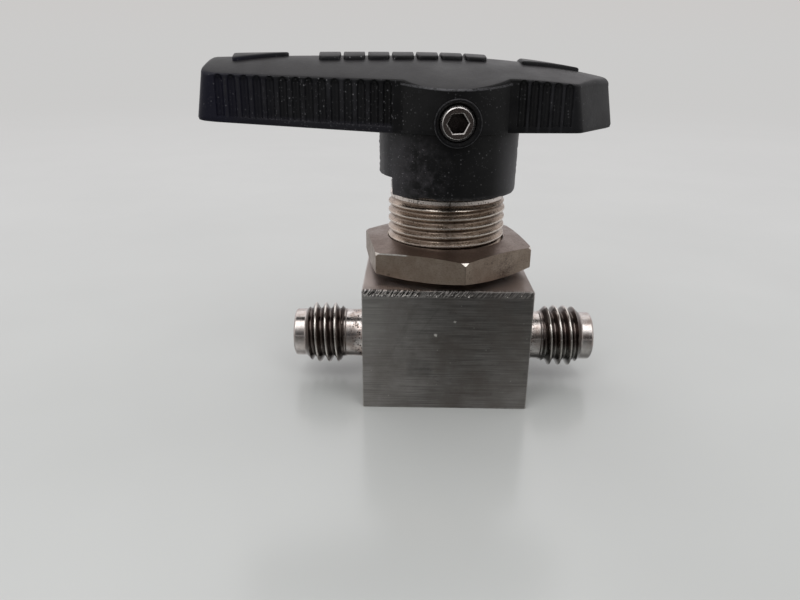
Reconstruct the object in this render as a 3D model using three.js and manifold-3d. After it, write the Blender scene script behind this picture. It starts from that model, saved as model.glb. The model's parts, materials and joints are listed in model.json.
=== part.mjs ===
// Small instrument ball valve with a one-piece body, two male tube ends, a panel nut and a lever handle.
//
// Millimetres, +Z up. The origin is the centre of the block's bottom face. The flow runs along X,
// the handle turns about Z. The long arm of the handle points to -X when the valve is open.
import * as THREE from "three";
import { mergeVertices } from "three/addons/utils/BufferGeometryUtils.js";
import Module from "manifold-3d";

const wasm = await Module();
wasm.setup();

// ---- Driving dimensions -------------------------------------------------------------------------

const CLEARANCE = 0.3; // gap between neighbouring pieces
const OVERLAP = 0.5; // how far joined or cutting solids run into each other
const ROUND_SIDES = 48; // sides of the large round pieces
const SMALL_SIDES = 32; // sides of the small round pieces

// block and its two tube ends
const BLOCK_WIDTH = 20;
const BLOCK_HEIGHT = 15.3;
const FLOW_Z = 5.65; // height of the flow axis
const PORT_TIP = 19.45; // distance of each end face from the stem axis
const NOSE_START = 17.8;
const END_THREAD_START = 12.9;
const NOSE_RADIUS = 3.12;
const END_THREAD_RADIUS = 3.97; // 5/16-20 thread
const NECK_RADIUS = 3.15;
const NECK_FLARE = 0.4; // the neck widens this much where it meets the block
const ORIFICE_RADIUS = 1.2;
const SOCKET_RADIUS = 1.65; // takes a 1/8 inch tube
const SOCKET_DEPTH = 6.4;
const MOUTH_RADIUS = 2.1;
const MOUTH_HALF_ANGLE = THREE.MathUtils.degToRad(12);

// bonnet, which is one piece with the block
const BONNET_RADIUS = 7.2; // 9/16-24 thread
const BONNET_TOP = 25.2;
const CHAMBER_RADIUS = 5.6; // 7/16-20 thread in its upper half
const CHAMBER_FLOOR = 1.2;

// panel nut
const NUT_ACROSS_FLATS = 19.05;
const NUT_BOTTOM = 15.95;
const NUT_TOP = 19.55; // at the hole; the top face falls a little from here to its rim
const NUT_RIM_RADIUS = 10.75;
const NUT_RIM_Z = 18.95;
const NUT_CORNER_ANGLE = THREE.MathUtils.degToRad(-80.5);
const NUT_CHAMFER_TOP = 0.35;
const NUT_CHAMFER_BOTTOM = 0.45;

// ball and stem
const BALL_RADIUS = 3.8;
const STEM_RADIUS = 2.4;
const STEM_TOP = 37.4;
const STEM_FLATS_BOTTOM = 29.8;
const STEM_HALF_FLATS = 1.8;

// packing, seals and springs inside the chamber
const SEAL_RADIUS = CHAMBER_RADIUS - CLEARANCE;
const STEM_HOLE_RADIUS = STEM_RADIUS + CLEARANCE + 0.05;
const PACKING_BOTTOM = CHAMBER_FLOOR + CLEARANCE;
const PACKING_SPLIT = 0.15; // half the gap between the two packing halves
const PACKING_TOP = 10.4;
const SIDE_POCKET_RADIUS = 2.45;
const SIDE_HOLE_RADIUS = 1.35;
const SIDE_RING = { inside: 4.0, outside: 4.35, radius: 2.15 };
const SIDE_DISC = { inside: 4.6, outside: 5.0, radius: 1.9 };
const SUPPORT_RING_HEIGHT = 1.2;
const BUSHING_HEIGHT = 1.0;
const SPRING_COUNT = 4;
const SPRING_THICKNESS = 0.5;
const SPRING_CONE = 0.45; // height that each disc spring gains from rim to hole
const SPRING_RIM_RADIUS = 5.2;
const SPRING_HOLE_RADIUS = 2.9;
const GLAND_HEIGHT = 1.45;

// packing bolt and the stop washer under its head
const BOLT_HEAD_ACROSS_FLATS = 11.9;
const BOLT_HEAD_HEIGHT = 2.6;
const WASHER_THICKNESS = 0.8;
const WASHER_RADIUS = 6.9;
const STOP_EAR_REACH = 8.0;
const STOP_EAR_WIDTH = 2.4;
const STOP_SLACK = THREE.MathUtils.degToRad(2); // angle left between the ear and each end of its notch

// handle
const HANDLE_YAW = THREE.MathUtils.degToRad(3.5); // the open stop lies a little past the flow axis
const SKIRT_RADIUS = 8.22;
const SKIRT_BOTTOM = 25.36;
const SKIRT_CAVITY_RADIUS = 7.2;
const SKIRT_CAVITY_TOP = 29.8;
const STOP_NOTCH_TOP = 27.4;
const STOP_NOTCH_END = THREE.MathUtils.degToRad(213); // measured on the handle itself
const TRAVEL = Math.PI / 2; // the handle's travel between its two stops
const LONG_ARM = 28.9;
const SHORT_ARM = 19.3;
const LONG_TIP_HALF_WIDTH = 3.6;
const ARM_HALF_WIDTH = 6.5;
const SHORT_TIP_HALF_WIDTH = 1.3;
const SHORT_CORNER_START = 14.2; // where the short arm starts to narrow to its arrow-shaped tip
const BULGE_RADIUS = 8.75;
const UNDERSIDE = 32.65; // under the hub and the short arm
const UNDERSIDE_AT_LONG_TIP = 33.6;
const LONG_END_DRAFT = THREE.MathUtils.degToRad(9);
const SHORT_END_DRAFT = THREE.MathUtils.degToRad(12);
const RIDGE_TOP = 40.6; // the highest part of the crowned top's ridge, over the long arm
const RIDGE_TOP_X = -5; // the ridge falls from here towards both tips
const LONG_RIDGE_FALL = 0.0006; // per square millimetre of distance
const SHORT_RIDGE_FALL = 0.00163;
const SHORT_RIDGE_POWER = 2.3;
const CROWN_STEEPNESS = 0.2; // how fast the top falls away beside its ridge, on average
const CROWN_STEEPNESS_CHANGE = 0.055; // it is steeper over the long arm and flatter over the short one
const CROWN_POWER = 1.3;
const RIDGE_SOFTNESS = 0.8;
const INSERT_RADIUS = 5.4;
const INSERT_BOTTOM = 30.1;
const INSERT_TOP = 38.0;
const MARK_HEIGHT = 0.4; // how far the plain raised marks stand above the crown
const MARK_SPANS = [[-24.8, -18.6], [-15.1, 3.9], [8.0, 15.0]];
const MARK_HALF_WIDTH = 2.2;
const SCREW_Z = 33.9;
const SCREW_RADIUS = 2.08; // number 8-32 set screw
const SCREW_FACE = 8.7; // distance of the screw's face from the stem axis
const SCREW_TIP = 2.15;
const SCREW_KEY_ACROSS_FLATS = 2.0;
const SCREW_KEY_DEPTH = 2.4;
const SCREW_BOSS_RADIUS = 2.7;

// The notch in the skirt lets the stop washer's ear through for the travel; the ear stands at its start.
const STOP_EAR_HALF_ANGLE = Math.asin(STOP_EAR_WIDTH / 2 / SKIRT_CAVITY_RADIUS);
const STOP_NOTCH_SWEEP = TRAVEL + 2 * (STOP_EAR_HALF_ANGLE + STOP_SLACK);
const STOP_NOTCH_START = STOP_NOTCH_END - STOP_NOTCH_SWEEP;
const STOP_EAR_ANGLE = HANDLE_YAW + STOP_NOTCH_START + STOP_SLACK + STOP_EAR_HALF_ANGLE;

// colours and finish
const STAINLESS = { color: 0x8c867f, roughness: 0.42, metalness: 1 };
const NUT_STEEL = { color: 0x8f857a, roughness: 0.5, metalness: 1 };
const BRIGHT_STEEL = { color: 0xb4b2ae, roughness: 0.25, metalness: 1 };
const SPRING_STEEL = { color: 0x7d7f82, roughness: 0.35, metalness: 1 };
const DARK_STEEL = { color: 0x3a3838, roughness: 0.4, metalness: 1 };
const PTFE = { color: 0xe9e7e0, roughness: 0.6, metalness: 0 };
const BUSHING_PLASTIC = { color: 0xb59c6c, roughness: 0.55, metalness: 0 };
const BLACK_NYLON = { color: 0x17181a, roughness: 0.5, metalness: 0 };

// ---- Solids ---------------------------------------------------------------------------------------

// A closed three.js geometry as a solid that can be joined and cut.
function solid(geometry) {
  const bare = new THREE.BufferGeometry();
  bare.setAttribute("position", geometry.getAttribute("position"));
  bare.setIndex(geometry.getIndex());
  const merged = mergeVertices(bare);
  const index = merged.getIndex().array;
  const triangles = [];
  for (let i = 0; i < index.length; i += 3) {
    const [a, b, c] = [index[i], index[i + 1], index[i + 2]];
    if (a !== b && b !== c && c !== a) {
      triangles.push(a, b, c);
    }
  }
  const vertProperties = new Float32Array(merged.getAttribute("position").array);
  const triVerts = new Uint32Array(triangles);
  return new wasm.Manifold(new wasm.Mesh({ numProp: 3, vertProperties, triVerts }));
}

function geometryOf(shape) {
  const mesh = shape.getMesh();
  const geometry = new THREE.BufferGeometry();
  geometry.setAttribute("position", new THREE.BufferAttribute(new Float32Array(mesh.vertProperties), 3));
  geometry.setIndex(new THREE.BufferAttribute(new Uint32Array(mesh.triVerts), 1));
  geometry.computeVertexNormals();
  return geometry;
}

// A profile of [radius, height] points turned about the Z axis.
function turned(profile, sides = ROUND_SIDES) {
  const points = profile.map(([radius, height]) => new THREE.Vector2(radius, height));
  return solid(new THREE.LatheGeometry(points, sides).rotateX(Math.PI / 2));
}

// A profile of [radius, x] points turned about the flow axis; side is 1 for +X and -1 for -X.
function turnedAlongFlow(profile, side) {
  const points = profile.map(([radius, height]) => new THREE.Vector2(radius, height));
  const geometry = new THREE.LatheGeometry(points, SMALL_SIDES).rotateZ((-side * Math.PI) / 2);
  return solid(geometry.translate(0, 0, FLOW_Z));
}

function cylinder(radius, bottom, top, sides = ROUND_SIDES) {
  return turned([[0, bottom], [radius, bottom], [radius, top], [0, top]], sides);
}

// A ring with its hole, as a closed section turned about the Z axis.
function ring(hole, radius, bottom, top, sides = ROUND_SIDES) {
  return turned([[hole, bottom], [radius, bottom], [radius, top], [hole, top], [hole, bottom]], sides);
}

function box(low, high) {
  const size = new THREE.Vector3().subVectors(high, low);
  const middle = new THREE.Vector3().addVectors(low, high).multiplyScalar(0.5);
  return solid(new THREE.BoxGeometry(size.x, size.y, size.z).translate(middle.x, middle.y, middle.z));
}

// An outline in the XY plane raised from one height to another.
function raised(outline, bottom, top, curveSegments = 12) {
  const settings = { depth: top - bottom, bevelEnabled: false, curveSegments };
  return solid(new THREE.ExtrudeGeometry(outline, settings).translate(0, 0, bottom));
}

function hexagon(acrossFlats, cornerAngle) {
  const outline = new THREE.Shape();
  const corner = acrossFlats / Math.sqrt(3);
  for (let i = 0; i < 6; i += 1) {
    const angle = cornerAngle + (i * Math.PI) / 3;
    const point = [corner * Math.cos(angle), corner * Math.sin(angle)];
    if (i === 0) {
      outline.moveTo(...point);
    } else {
      outline.lineTo(...point);
    }
  }
  outline.closePath();
  return outline;
}

function piece(name, shape, finish) {
  const mesh = new THREE.Mesh(geometryOf(shape), new THREE.MeshStandardMaterial(finish));
  mesh.name = name;
  return mesh;
}

// ---- Body -----------------------------------------------------------------------------------------

function tubeEnd(side) {
  const chamfer = 0.35;
  return turnedAlongFlow([
    [0, BLOCK_WIDTH / 2 - OVERLAP],
    [NECK_RADIUS + NECK_FLARE, BLOCK_WIDTH / 2 - OVERLAP],
    [NECK_RADIUS + NECK_FLARE, BLOCK_WIDTH / 2],
    [NECK_RADIUS, BLOCK_WIDTH / 2 + NECK_FLARE],
    [NECK_RADIUS, END_THREAD_START],
    [END_THREAD_RADIUS, END_THREAD_START + chamfer],
    [END_THREAD_RADIUS, NOSE_START - chamfer],
    [NOSE_RADIUS, NOSE_START],
    [NOSE_RADIUS, PORT_TIP - chamfer],
    [NOSE_RADIUS - chamfer, PORT_TIP],
    [0, PORT_TIP],
  ], side);
}

function flowBore(side) {
  const beyondTip = PORT_TIP + OVERLAP;
  const mouthLength = (MOUTH_RADIUS - SOCKET_RADIUS) / Math.tan(MOUTH_HALF_ANGLE);
  return turnedAlongFlow([
    [0, CHAMBER_RADIUS - OVERLAP],
    [ORIFICE_RADIUS, CHAMBER_RADIUS - OVERLAP],
    [ORIFICE_RADIUS, PORT_TIP - SOCKET_DEPTH],
    [SOCKET_RADIUS, PORT_TIP - SOCKET_DEPTH],
    [SOCKET_RADIUS, PORT_TIP - mouthLength],
    [MOUTH_RADIUS, PORT_TIP],
    [MOUTH_RADIUS, beyondTip],
    [0, beyondTip],
  ], side);
}

function valveBody() {
  const half = BLOCK_WIDTH / 2;
  const chamfer = 0.5;
  const block = box(new THREE.Vector3(-half, -half, 0), new THREE.Vector3(half, half, BLOCK_HEIGHT));
  const bonnet = turned([
    [0, BLOCK_HEIGHT - OVERLAP],
    [BONNET_RADIUS, BLOCK_HEIGHT - OVERLAP],
    [BONNET_RADIUS, BONNET_TOP - chamfer],
    [BONNET_RADIUS - chamfer, BONNET_TOP],
    [0, BONNET_TOP],
  ]);
  const chamber = cylinder(CHAMBER_RADIUS, CHAMBER_FLOOR, BONNET_TOP + OVERLAP);
  let body = block.add(bonnet);
  for (const side of [-1, 1]) {
    body = body.add(tubeEnd(side));
  }
  for (const side of [-1, 1]) {
    body = body.subtract(flowBore(side));
  }
  return body.subtract(chamber);
}

function panelNut() {
  const corner = NUT_ACROSS_FLATS / Math.sqrt(3);
  const flat = NUT_ACROSS_FLATS / 2;
  const hexPrism = raised(hexagon(NUT_ACROSS_FLATS, NUT_CORNER_ANGLE), NUT_BOTTOM, NUT_TOP);
  const chamfers = turned([
    [0, NUT_BOTTOM],
    [flat - 0.1, NUT_BOTTOM],
    [corner, NUT_BOTTOM + NUT_CHAMFER_BOTTOM],
    [corner + OVERLAP, NUT_BOTTOM + NUT_CHAMFER_BOTTOM + OVERLAP],
    [corner + OVERLAP, NUT_RIM_Z - NUT_CHAMFER_TOP - OVERLAP],
    [corner, NUT_RIM_Z - NUT_CHAMFER_TOP],
    [NUT_RIM_RADIUS, NUT_RIM_Z],
    [BONNET_RADIUS, NUT_TOP],
    [0, NUT_TOP],
  ]);
  const hole = cylinder(BONNET_RADIUS + CLEARANCE, NUT_BOTTOM - OVERLAP, NUT_TOP + OVERLAP);
  return hexPrism.intersect(chamfers).subtract(hole);
}

// ---- Ball, stem and seals ---------------------------------------------------------------------------

function ballStem() {
  const ball = solid(new THREE.SphereGeometry(BALL_RADIUS, 32, 18).rotateX(Math.PI / 2)
    .translate(0, 0, FLOW_Z));
  const stem = cylinder(STEM_RADIUS, FLOW_Z, STEM_TOP, SMALL_SIDES);
  let shape = ball.add(stem);
  for (const side of [-1, 1]) {
    const near = side * STEM_HALF_FLATS;
    const far = side * (STEM_RADIUS + OVERLAP);
    shape = shape.subtract(box(
      new THREE.Vector3(-STEM_RADIUS - OVERLAP, Math.min(near, far), STEM_FLATS_BOTTOM),
      new THREE.Vector3(STEM_RADIUS + OVERLAP, Math.max(near, far), STEM_TOP + OVERLAP),
    ));
  }
  const reach = BALL_RADIUS + OVERLAP;
  const bore = turnedAlongFlow([[0, -reach], [ORIFICE_RADIUS, -reach], [ORIFICE_RADIUS, reach], [0, reach]], 1);
  return shape.subtract(bore);
}

// Half of the packing: a thick ring, hollowed for the ball, the stem and the two side pockets.
function packingHalf(bottom, top) {
  const cavity = solid(new THREE.SphereGeometry(BALL_RADIUS + CLEARANCE, 32, 18).rotateX(Math.PI / 2)
    .translate(0, 0, FLOW_Z));
  const reach = CHAMBER_RADIUS + OVERLAP;
  const pockets = turnedAlongFlow([
    [0, -reach],
    [SIDE_POCKET_RADIUS, -reach],
    [SIDE_POCKET_RADIUS, reach],
    [0, reach],
  ], 1);
  const stemHole = cylinder(STEM_HOLE_RADIUS, FLOW_Z, PACKING_TOP + OVERLAP, SMALL_SIDES);
  return cylinder(SEAL_RADIUS, bottom, top).subtract(cavity).subtract(pockets).subtract(stemHole);
}

function sideWasher(size, side) {
  return turnedAlongFlow([
    [SIDE_HOLE_RADIUS, size.inside],
    [size.radius, size.inside],
    [size.radius, size.outside],
    [SIDE_HOLE_RADIUS, size.outside],
    [SIDE_HOLE_RADIUS, size.inside],
  ], side);
}

function discSpring(bottom) {
  return turned([
    [SPRING_HOLE_RADIUS, bottom + SPRING_CONE],
    [SPRING_RIM_RADIUS, bottom],
    [SPRING_RIM_RADIUS, bottom + SPRING_THICKNESS],
    [SPRING_HOLE_RADIUS, bottom + SPRING_CONE + SPRING_THICKNESS],
    [SPRING_HOLE_RADIUS, bottom + SPRING_CONE],
  ], SMALL_SIDES);
}

// The pieces that are stacked on the packing, from the support ring up to the packing bolt.
function stackedPieces() {
  const pieces = [];
  let level = PACKING_TOP + CLEARANCE;
  const supportRing = ring(STEM_HOLE_RADIUS, SEAL_RADIUS, level, level + SUPPORT_RING_HEIGHT, SMALL_SIDES);
  pieces.push(piece("packing_support_ring", supportRing, BRIGHT_STEEL));
  level += SUPPORT_RING_HEIGHT + CLEARANCE;
  const bushing = ring(STEM_HOLE_RADIUS, SEAL_RADIUS, level, level + BUSHING_HEIGHT, SMALL_SIDES);
  pieces.push(piece("stem_bushing", bushing, BUSHING_PLASTIC));
  level += BUSHING_HEIGHT + CLEARANCE;
  for (let i = 1; i <= SPRING_COUNT; i += 1) {
    pieces.push(piece(`disc_spring_${i}`, discSpring(level), SPRING_STEEL));
    level += SPRING_THICKNESS + CLEARANCE;
  }
  level += SPRING_CONE;
  const gland = ring(STEM_HOLE_RADIUS, SEAL_RADIUS, level, level + GLAND_HEIGHT, SMALL_SIDES);
  pieces.push(piece("packing_gland", gland, STAINLESS));
  level += GLAND_HEIGHT + CLEARANCE;
  pieces.push(piece("packing_bolt", packingBolt(level), STAINLESS));
  return pieces;
}

function packingBolt(bottom) {
  const headBottom = BONNET_TOP + WASHER_THICKNESS + 2 * CLEARANCE;
  const headTop = headBottom + BOLT_HEAD_HEIGHT;
  const shank = cylinder(SEAL_RADIUS, bottom, headBottom + OVERLAP);
  const head = raised(hexagon(BOLT_HEAD_ACROSS_FLATS, 0), headBottom, headTop);
  const hole = cylinder(STEM_HOLE_RADIUS, bottom - OVERLAP, headTop + OVERLAP, SMALL_SIDES);
  return shank.add(head).subtract(hole);
}

function stopWasher() {
  const bottom = BONNET_TOP + CLEARANCE;
  const top = bottom + WASHER_THICKNESS;
  const disc = cylinder(WASHER_RADIUS, bottom, top);
  const ear = box(
    new THREE.Vector3(0, -STOP_EAR_WIDTH / 2, bottom),
    new THREE.Vector3(STOP_EAR_REACH, STOP_EAR_WIDTH / 2, top),
  ).rotate([0, 0, THREE.MathUtils.radToDeg(STOP_EAR_ANGLE)]);
  const hole = cylinder(CHAMBER_RADIUS, bottom - OVERLAP, top + OVERLAP);
  return disc.add(ear).subtract(hole);
}

// ---- Handle -------------------------------------------------------------------------------------------

// The bar from above: a tapered long arm, a round bulge about the stem and a short arm with an arrow tip.
function barOutline() {
  const bulgeReach = Math.sqrt(BULGE_RADIUS ** 2 - ARM_HALF_WIDTH ** 2);
  const bulgeAngle = Math.atan2(ARM_HALF_WIDTH, bulgeReach);
  const outline = new THREE.Shape();
  outline.moveTo(-LONG_ARM, -LONG_TIP_HALF_WIDTH);
  outline.lineTo(-bulgeReach, -ARM_HALF_WIDTH);
  outline.absarc(0, 0, BULGE_RADIUS, Math.PI + bulgeAngle, 2 * Math.PI - bulgeAngle, false);
  outline.lineTo(SHORT_CORNER_START, -ARM_HALF_WIDTH);
  outline.lineTo(SHORT_ARM, -SHORT_TIP_HALF_WIDTH);
  outline.lineTo(SHORT_ARM, SHORT_TIP_HALF_WIDTH);
  outline.lineTo(SHORT_CORNER_START, ARM_HALF_WIDTH);
  outline.lineTo(bulgeReach, ARM_HALF_WIDTH);
  outline.absarc(0, 0, BULGE_RADIUS, bulgeAngle, Math.PI - bulgeAngle, false);
  outline.lineTo(-LONG_ARM, LONG_TIP_HALF_WIDTH);
  outline.closePath();
  return outline;
}

// The bar from the side: an underside that rises along the long arm and two drafted ends.
function barSide() {
  const top = RIDGE_TOP + OVERLAP;
  const longLean = (top - UNDERSIDE_AT_LONG_TIP) * Math.tan(LONG_END_DRAFT);
  const shortLean = (top - UNDERSIDE) * Math.tan(SHORT_END_DRAFT);
  const outline = new THREE.Shape();
  outline.moveTo(-LONG_ARM, UNDERSIDE_AT_LONG_TIP);
  outline.lineTo(-SKIRT_RADIUS, UNDERSIDE);
  outline.lineTo(SHORT_ARM, UNDERSIDE);
  outline.lineTo(SHORT_ARM - shortLean, top);
  outline.lineTo(-LONG_ARM + longLean, top);
  outline.closePath();
  const depth = 2 * (BULGE_RADIUS + OVERLAP);
  const settings = { depth, bevelEnabled: false };
  return solid(new THREE.ExtrudeGeometry(outline, settings).translate(0, 0, -depth / 2)
    .rotateX(Math.PI / 2));
}

// Height of the crowned top over a point: a ridge along the handle with the top falling away on both sides.
function crownHeight(x, y) {
  const beyond = x - RIDGE_TOP_X;
  const ridgeFall = beyond > 0
    ? SHORT_RIDGE_FALL * beyond ** SHORT_RIDGE_POWER
    : LONG_RIDGE_FALL * beyond ** 2;
  const steepness = CROWN_STEEPNESS - CROWN_STEEPNESS_CHANGE * Math.tanh((x + 3) / 6);
  const aside = Math.hypot(y, RIDGE_SOFTNESS) ** CROWN_POWER - RIDGE_SOFTNESS ** CROWN_POWER;
  return RIDGE_TOP - ridgeFall - steepness * aside;
}

// The space under the crowned top, lifted by a given amount.
function underCrown(lift) {
  const low = new THREE.Vector3(-LONG_ARM - OVERLAP, -BULGE_RADIUS - OVERLAP, UNDERSIDE - OVERLAP);
  const high = new THREE.Vector3(SHORT_ARM + OVERLAP, BULGE_RADIUS + OVERLAP, RIDGE_TOP);
  const size = new THREE.Vector3().subVectors(high, low);
  const middle = new THREE.Vector3().addVectors(low, high).multiplyScalar(0.5);
  const lengthSteps = 25;
  const widthSteps = 14;
  const geometry = new THREE.BoxGeometry(size.x, size.y, size.z, lengthSteps, widthSteps, 1)
    .translate(middle.x, middle.y, middle.z);
  const points = geometry.getAttribute('position');
  for (let i = 0; i < points.count; i += 1) {
    if (points.getZ(i) > middle.z) {
      points.setZ(i, crownHeight(points.getX(i), points.getY(i)) + lift);
    }
  }
  return solid(geometry);
}

// The plain raised marks on the crown: one long field over the hub and one mark near each end.
function crownMarks() {
  const bottom = RIDGE_TOP - 3;
  const top = RIDGE_TOP + 1;
  const blocks = MARK_SPANS.map(([start, end]) => box(
    new THREE.Vector3(start, -MARK_HALF_WIDTH, bottom),
    new THREE.Vector3(end, MARK_HALF_WIDTH, top),
  ));
  return blocks.reduce((joined, block) => joined.add(block)).intersect(underCrown(MARK_HEIGHT));
}

// The missing stretch of the skirt's lower edge, in which the stop washer's ear travels.
function stopNotch() {
  const reach = SKIRT_RADIUS + OVERLAP;
  const outline = new THREE.Shape();
  outline.moveTo(0, 0);
  outline.lineTo(reach * Math.cos(STOP_NOTCH_START), reach * Math.sin(STOP_NOTCH_START));
  outline.absarc(0, 0, reach, STOP_NOTCH_START, STOP_NOTCH_END, false);
  outline.closePath();
  return raised(outline, SKIRT_BOTTOM - OVERLAP, STOP_NOTCH_TOP);
}

// A cylinder along the set screw's axis, between two distances from the stem axis.
function screwCylinder(radius, near, far) {
  return solid(new THREE.CylinderGeometry(radius, radius, far - near, SMALL_SIDES)
    .translate(0, -(near + far) / 2, SCREW_Z));
}

function handle() {
  const bar = raised(barOutline(), UNDERSIDE - OVERLAP, RIDGE_TOP + OVERLAP)
    .intersect(barSide())
    .intersect(underCrown(0))
    .add(crownMarks());
  const skirt = cylinder(SKIRT_RADIUS, SKIRT_BOTTOM, UNDERSIDE_AT_LONG_TIP + OVERLAP);
  const boss = screwCylinder(SCREW_BOSS_RADIUS, INSERT_RADIUS, SCREW_FACE);
  const cavity = cylinder(SKIRT_CAVITY_RADIUS, SKIRT_BOTTOM - OVERLAP, SKIRT_CAVITY_TOP);
  const pocket = cylinder(INSERT_RADIUS + CLEARANCE, SKIRT_CAVITY_TOP - OVERLAP, INSERT_TOP + CLEARANCE);
  const screwHole = screwCylinder(SCREW_RADIUS + CLEARANCE, INSERT_RADIUS - OVERLAP, SCREW_FACE + OVERLAP);
  return bar.add(skirt).add(boss)
    .subtract(stopNotch()).subtract(cavity).subtract(pocket).subtract(screwHole);
}

function handleInsert() {
  const flats = STEM_HALF_FLATS + CLEARANCE;
  const keyhole = cylinder(STEM_HOLE_RADIUS, INSERT_BOTTOM - OVERLAP, INSERT_TOP + OVERLAP, SMALL_SIDES)
    .intersect(box(
      new THREE.Vector3(-INSERT_RADIUS, -flats, INSERT_BOTTOM - OVERLAP),
      new THREE.Vector3(INSERT_RADIUS, flats, INSERT_TOP + OVERLAP),
    ));
  const screwHole = screwCylinder(SCREW_RADIUS + CLEARANCE, 0, INSERT_RADIUS + OVERLAP);
  return cylinder(INSERT_RADIUS, INSERT_BOTTOM, INSERT_TOP).subtract(keyhole).subtract(screwHole);
}

function setScrew() {
  const keyCorner = SCREW_KEY_ACROSS_FLATS / Math.sqrt(3);
  const keyLength = SCREW_KEY_DEPTH + OVERLAP;
  const key = solid(new THREE.CylinderGeometry(keyCorner, keyCorner, keyLength, 6)
    .translate(0, -SCREW_FACE - OVERLAP + keyLength / 2, SCREW_Z));
  return screwCylinder(SCREW_RADIUS, SCREW_TIP, SCREW_FACE).subtract(key);
}

// ---- Assembly -----------------------------------------------------------------------------------------

const fixedPieces = new THREE.Group();
fixedPieces.add(
  piece("valve_body", valveBody(), STAINLESS),
  piece("lower_packing", packingHalf(PACKING_BOTTOM, FLOW_Z - PACKING_SPLIT), PTFE),
  piece("upper_packing", packingHalf(FLOW_Z + PACKING_SPLIT, PACKING_TOP), PTFE),
  piece("side_ring_left", sideWasher(SIDE_RING, -1), PTFE),
  piece("side_ring_right", sideWasher(SIDE_RING, 1), PTFE),
  piece("side_disc_left", sideWasher(SIDE_DISC, -1), BRIGHT_STEEL),
  piece("side_disc_right", sideWasher(SIDE_DISC, 1), BRIGHT_STEEL),
  ...stackedPieces(),
  piece("stop_washer", stopWasher(), BRIGHT_STEEL),
);

const turningPieces = new THREE.Group();
turningPieces.rotation.z = HANDLE_YAW;
turningPieces.add(
  piece("ball_stem", ballStem(), BRIGHT_STEEL),
  piece("handle_insert", handleInsert(), STAINLESS),
  piece("set_screw", setScrew(), DARK_STEEL),
  piece("handle", handle(), BLACK_NYLON),
);

const valve = new THREE.Group();
valve.add(fixedPieces, turningPieces, piece("panel_nut", panelNut(), NUT_STEEL));

export default valve;
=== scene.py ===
"""Small instrument ball valve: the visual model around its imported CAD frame.

Shapes are made in millimetres in the row frame and turned into metres when a piece is finished.
"""
import json
import math
import random

import bmesh
import bpy
from mathutils import Matrix, Vector, noise


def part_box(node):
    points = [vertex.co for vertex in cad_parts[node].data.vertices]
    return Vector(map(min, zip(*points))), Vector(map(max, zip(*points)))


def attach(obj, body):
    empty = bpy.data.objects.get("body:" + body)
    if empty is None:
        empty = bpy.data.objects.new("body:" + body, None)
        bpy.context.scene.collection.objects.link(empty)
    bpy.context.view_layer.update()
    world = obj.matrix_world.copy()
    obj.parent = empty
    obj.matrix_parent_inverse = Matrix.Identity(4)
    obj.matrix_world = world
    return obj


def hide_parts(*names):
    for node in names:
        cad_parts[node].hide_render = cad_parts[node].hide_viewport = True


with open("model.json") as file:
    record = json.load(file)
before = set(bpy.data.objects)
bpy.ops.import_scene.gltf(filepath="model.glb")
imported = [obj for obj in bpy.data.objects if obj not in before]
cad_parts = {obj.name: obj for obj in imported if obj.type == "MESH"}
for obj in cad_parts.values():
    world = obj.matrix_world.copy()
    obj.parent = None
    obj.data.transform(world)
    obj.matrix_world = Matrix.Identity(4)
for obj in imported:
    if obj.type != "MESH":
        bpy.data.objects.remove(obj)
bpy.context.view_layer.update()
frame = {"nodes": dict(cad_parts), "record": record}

MM = 0.001
TAU = 2 * math.pi
random.seed(7)


def node_box(node):
    """Lowest and highest corner of a CAD node, in millimetres."""
    low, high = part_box(node)
    return low / MM, high / MM


def mount_point(name):
    """A mount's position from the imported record, in millimetres."""
    mount = next(m for m in frame["record"]["mounts"] if m["name"] == name)
    return Vector(mount["pos_m"]) / MM


# ---- Driving dimensions, from the frame where it has them ----

BODY_HIGH = node_box("valve_body")[1]
BLOCK_HALF = BODY_HIGH.y
BLOCK_TOP = mount_point("panel_seat").z
PORT_TIP = BODY_HIGH.x
BONNET_TOP = BODY_HIGH.z
FLOW_Z = sum(corner.z for corner in node_box("side_ring_left")) / 2

BONNET_CREST = 7.2
BONNET_ROOT = 6.74
BONNET_LAND = 6.95
BONNET_PITCH = 1.058
CHAMBER_RADIUS = 5.6
CHAMBER_FLOOR = 1.2

END_CREST = 3.97
END_ROOT = 3.22
END_PITCH = 1.27
NECK_RADIUS = 3.12
NECK_FLARE = 0.45
FLARE_LENGTH = 1.6
NOSE_RADIUS = 3.1
END_THREAD_START = 12.95
END_THREAD_END = 17.85
ORIFICE_RADIUS = 1.2
SOCKET_RADIUS = 1.65
SOCKET_DEPTH = 6.4
MOUTH_RADIUS = 2.1
MOUTH_HALF_ANGLE = math.radians(12)

NUT_LOW, NUT_HIGH = node_box("panel_nut")
NUT_ACROSS_FLATS = 19.05
NUT_RIM_RADIUS = 10.75
NUT_RIM_DROP = 0.6
NUT_CHAMFER = 0.38
NUT_HOLE_RADIUS = BONNET_CREST + 0.04
NUT_CORNER_ANGLE = math.radians(-80.5)

SCREW_MIDDLE = sum(node_box("set_screw"), Vector()) / 2
HANDLE_YAW = math.atan2(SCREW_MIDDLE.x, -SCREW_MIDDLE.y)
SCREW_Z = SCREW_MIDDLE.z
SCREW_RADIUS = 1.97
SCREW_FACE = 8.62
SCREW_TIP = 2.15
SCREW_HOLE_RADIUS = 2.05
BOSS_RADIUS = 2.6
BOSS_FACE = 8.8
SOCKET_FLATS = 2.05
SOCKET_TURN = math.radians(3)

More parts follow.
